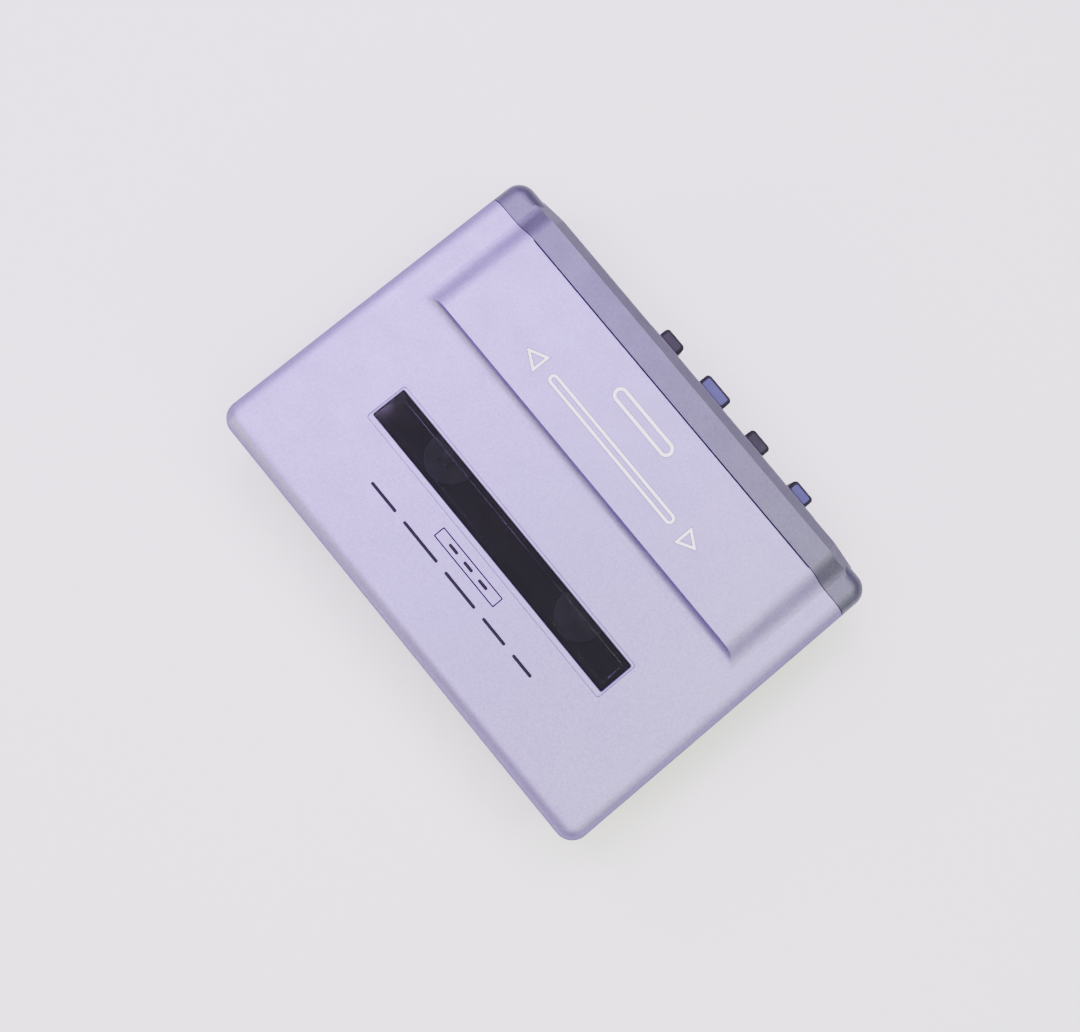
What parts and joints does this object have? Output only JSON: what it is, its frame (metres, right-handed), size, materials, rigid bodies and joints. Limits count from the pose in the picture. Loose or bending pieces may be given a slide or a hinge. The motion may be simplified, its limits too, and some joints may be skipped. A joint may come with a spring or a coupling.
{
  "type": "portable cassette player",
  "caption": "Pocket cassette player with a hinged windowed lid, sprung control keys, belt driven deck, pinch rollers, volume wheel, slide switches and battery door.",
  "frame": {"origin": "middle of the case's back face", "axes": "+X along the long side, +Y from the hinge side to the key side, +Z out of the lid"},
  "size_m": [0.112, 0.0819, 0.03],
  "materials": {
    "lid_paint": "fine metallic paint",
    "strip_paint": "fine metallic paint, darker",
    "case_grey": "satin",
    "window_smoke": "smoked, clear",
    "key_dark": "satin",
    "key_blue": "satin",
    "black_plastic": "satin",
    "frame_plastic": "satin",
    "steel": "bright",
    "spring_steel": "bright",
    "brass": "machined",
    "rubber": "matt",
    "reel_plastic": "smooth",
    "gear_plastic": "smooth",
    "board_green": "coated",
    "chip_black": "moulded",
    "can_aluminium": "drawn",
    "lamp_red": "clear tint"
  },
  "bodies": {
    "case": {"rear_case": "case_grey", "upper_case": "strip_paint", "lid_latch_springs": "spring_steel", "case_screws": "steel", "battery_contact_left": "spring_steel", "battery_contact_right": "spring_steel", "chassis_plate": "steel", "deck_cover": "black_plastic", "deck_screws": "steel", "motor": "steel", "drive_belt": "rubber", "capstan_bushes": "brass", "flywheel_bracket": "steel", "main_board": "board_green", "board_chips": "chip_black", "board_capacitors": "can_aluminium", "volume_control": "black_plastic", "headphone_jack": "black_plastic", "supply_jack": "black_plastic", "mode_switch": "steel", "tape_switch": "steel", "noise_switch": "steel", "lamp": "lamp_red", "rewind_spring": "spring_steel", "play_spring": "spring_steel", "fast_forward_spring": "spring_steel", "stop_spring": "spring_steel"},
    "lid": {"lid_shell": "lid_paint", "lid_window": "window_smoke", "lid_inner_frame": "frame_plastic", "cassette_springs": "spring_steel", "lid_hinge_pins": "steel"},
    "door": {"battery_door": "case_grey"},
    "rewind": {"rewind_key": "key_dark"},
    "play": {"play_key": "key_blue"},
    "fast_forward": {"fast_forward_key": "key_dark"},
    "stop": {"stop_key": "key_blue"},
    "head": {"head_plate": "steel", "tape_head": "steel"},
    "arm_left": {"pinch_arm_left": "steel"},
    "arm_right": {"pinch_arm_right": "steel"},
    "roller_left": {"pinch_roller_left": "rubber"},
    "roller_right": {"pinch_roller_right": "rubber"},
    "drive_left": {"flywheel_left": "brass", "capstan_left": "steel"},
    "drive_right": {"flywheel_right": "brass", "capstan_right": "steel"},
    "motor_shaft": {"motor_pulley": "brass"},
    "reel_left": {"reel_table_left": "reel_plastic", "reel_gear_left": "gear_plastic"},
    "reel_right": {"reel_table_right": "reel_plastic", "reel_gear_right": "gear_plastic"},
    "idler_lever": {"idler_arm": "steel"},
    "idler": {"idler_gear": "gear_plastic"},
    "volume": {"volume_wheel": "black_plastic"},
    "mode": {"mode_knob": "key_dark"},
    "tape": {"tape_knob": "key_dark"},
    "noise": {"noise_knob": "key_dark"}
  },
  "joints": [
    {"name": "lid_hinge", "type": "hinge", "parent": "case", "child": "lid", "pos_m": [0, -0.03705, 0.0185], "axis": [1, 0, 0], "range_deg": [0, 75], "deforming": ["lid_latch_springs"]},
    {"name": "battery_door_hinge", "type": "hinge", "parent": "case", "child": "door", "pos_m": [0, -0.03665, 0.00125], "axis": [-1, 0, 0], "range_deg": [0, 95]},
    {"name": "rewind_press", "type": "slide", "parent": "case", "child": "rewind", "axis": [0, -1, 0], "range_m": [0, 0.0024], "stiffness_N_per_m": 250, "springref_m": -0.0012, "deforming": ["rewind_spring"]},
    {"name": "play_press", "type": "slide", "parent": "case", "child": "play", "axis": [0, -1, 0], "range_m": [0, 0.0024], "stiffness_N_per_m": 250, "springref_m": -0.0012, "deforming": ["play_spring"]},
    {"name": "fast_forward_press", "type": "slide", "parent": "case", "child": "fast_forward", "axis": [0, -1, 0], "range_m": [0, 0.0024], "stiffness_N_per_m": 250, "springref_m": -0.0012, "deforming": ["fast_forward_spring"]},
    {"name": "stop_press", "type": "slide", "parent": "case", "child": "stop", "axis": [0, -1, 0], "range_m": [0, 0.0024], "stiffness_N_per_m": 250, "springref_m": -0.0012, "deforming": ["stop_spring"]},
    {"name": "head_slide", "type": "slide", "parent": "case", "child": "head", "axis": [0, -1, 0], "range_m": [0, 0.0024]},
    {"name": "pinch_right_swing", "type": "hinge", "parent": "case", "child": "arm_right", "pos_m": [0.0118, 0.02745, 0.0165], "axis": [0, 0, 1], "range_deg": [-21.1, 0]},
    {"name": "pinch_left_swing", "type": "hinge", "parent": "case", "child": "arm_left", "pos_m": [-0.0102, 0.02745, 0.0165], "axis": [0, 0, 1], "range_deg": [0, 10.6]},
    {"name": "pinch_right_spin", "type": "hinge", "parent": "arm_right", "child": "roller_right", "pos_m": [0.0238, 0.02975, 0.021], "axis": [0, 0, 1], "continuous": true},
    {"name": "pinch_left_spin", "type": "hinge", "parent": "arm_left", "child": "roller_left", "pos_m": [-0.0222, 0.02975, 0.021], "axis": [0, 0, 1], "continuous": true},
    {"name": "capstan_right_spin", "type": "hinge", "parent": "case", "child": "drive_right", "pos_m": [0.0238, 0.02125, 0.0095], "axis": [0, 0, 1], "continuous": true},
    {"name": "capstan_left_spin", "type": "hinge", "parent": "case", "child": "drive_left", "pos_m": [-0.0222, 0.02125, 0.0095], "axis": [0, 0, 1], "continuous": true},
    {"name": "motor_spin", "type": "hinge", "parent": "case", "child": "motor_shaft", "pos_m": [-0.037, -0.00625, 0.0095], "axis": [0, 0, 1], "continuous": true},
    {"name": "reel_left_spin", "type": "hinge", "parent": "case", "child": "reel_left", "pos_m": [-0.02045, -0.00845, 0.012], "axis": [0, 0, 1], "continuous": true},
    {"name": "reel_right_spin", "type": "hinge", "parent": "case", "child": "reel_right", "pos_m": [0.02205, -0.00845, 0.012], "axis": [0, 0, 1], "continuous": true},
    {"name": "idler_swing", "type": "hinge", "parent": "case", "child": "idler_lever", "pos_m": [0.0008, 0.00625, 0.011], "axis": [0, 0, 1], "range_deg": [-10.5, 10.5]},
    {"name": "idler_spin", "type": "hinge", "parent": "idler_lever", "child": "idler", "pos_m": [0.0008, -0.00525, 0.012], "axis": [0, 0, 1], "continuous": true},
    {"name": "volume_turn", "type": "hinge", "parent": "case", "child": "volume", "pos_m": [0.0483, 0.00275, 0.01], "axis": [0, 0, 1], "range_deg": [0, 280]},
    {"name": "mode_slide", "type": "slide", "parent": "case", "child": "mode", "axis": [0, 1, 0], "range_m": [0, 0.002]},
    {"name": "tape_slide", "type": "slide", "parent": "case", "child": "tape", "axis": [0, 1, 0], "range_m": [0, 0.002]},
    {"name": "noise_slide", "type": "slide", "parent": "case", "child": "noise", "axis": [1, 0, 0], "range_m": [0, 0.002]}
  ],
  "couplings": [
    {"joint": "head_slide", "follows": "play_press", "ratio": 1},
    {"joint": "pinch_right_swing", "follows": "play_press", "rad_per_m": -152.6},
    {"joint": "pinch_left_swing", "follows": "play_press", "rad_per_m": 76.3},
    {"joint": "capstan_left_spin", "follows": "capstan_right_spin", "ratio": -1},
    {"joint": "motor_spin", "follows": "capstan_right_spin", "ratio": 6.234}
  ]
}
